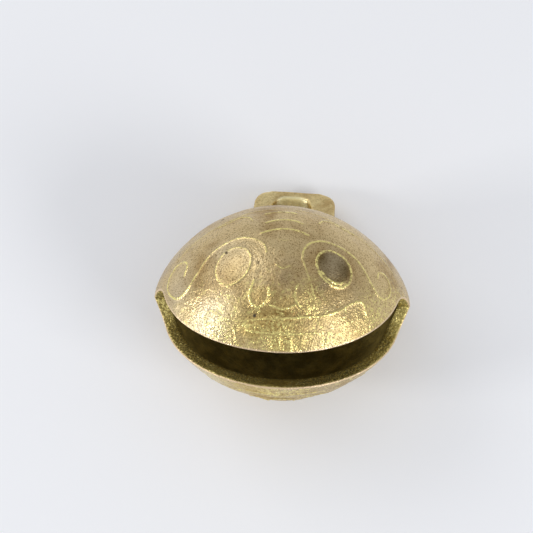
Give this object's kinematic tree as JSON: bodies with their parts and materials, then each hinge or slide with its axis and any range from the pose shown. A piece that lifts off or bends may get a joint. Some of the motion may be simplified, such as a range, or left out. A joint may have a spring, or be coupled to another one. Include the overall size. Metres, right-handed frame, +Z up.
{
  "type": "crotal bell",
  "caption": "Small cast brass crotal bell: two domed cheeks with a slot mouth between them, a loose ball inside and a hanging loop.",
  "frame": {"origin": "on the table, under the middle of the bell as it lies on its lower cheek and on its loop", "axes": "+X along the slot of the mouth, +Y from the mouth towards the hanging loop, +Z up; the slot's plane leans back 34 degrees about X, mouth up"},
  "size_m": [0.033, 0.0304, 0.025],
  "materials": {
    "cast_brass": "sand-cast, brown-gold, worn bright on the raised lines and lips",
    "loop_brass": "smoother yellow brass",
    "iron_pellet": "dark, dull"
  },
  "bodies": {
    "bell": {"bell_body": "cast_brass", "hanging_loop": "loop_brass"},
    "pellet": {"pellet": "iron_pellet"}
  },
  "joints": [
    {"name": "pellet_roll", "type": "hinge", "parent": "bell", "child": "pellet", "pos_m": [0, -0.00259, 0.01723], "axis": [0, 1, 0], "range_deg": [-50, 50]}
  ]
}
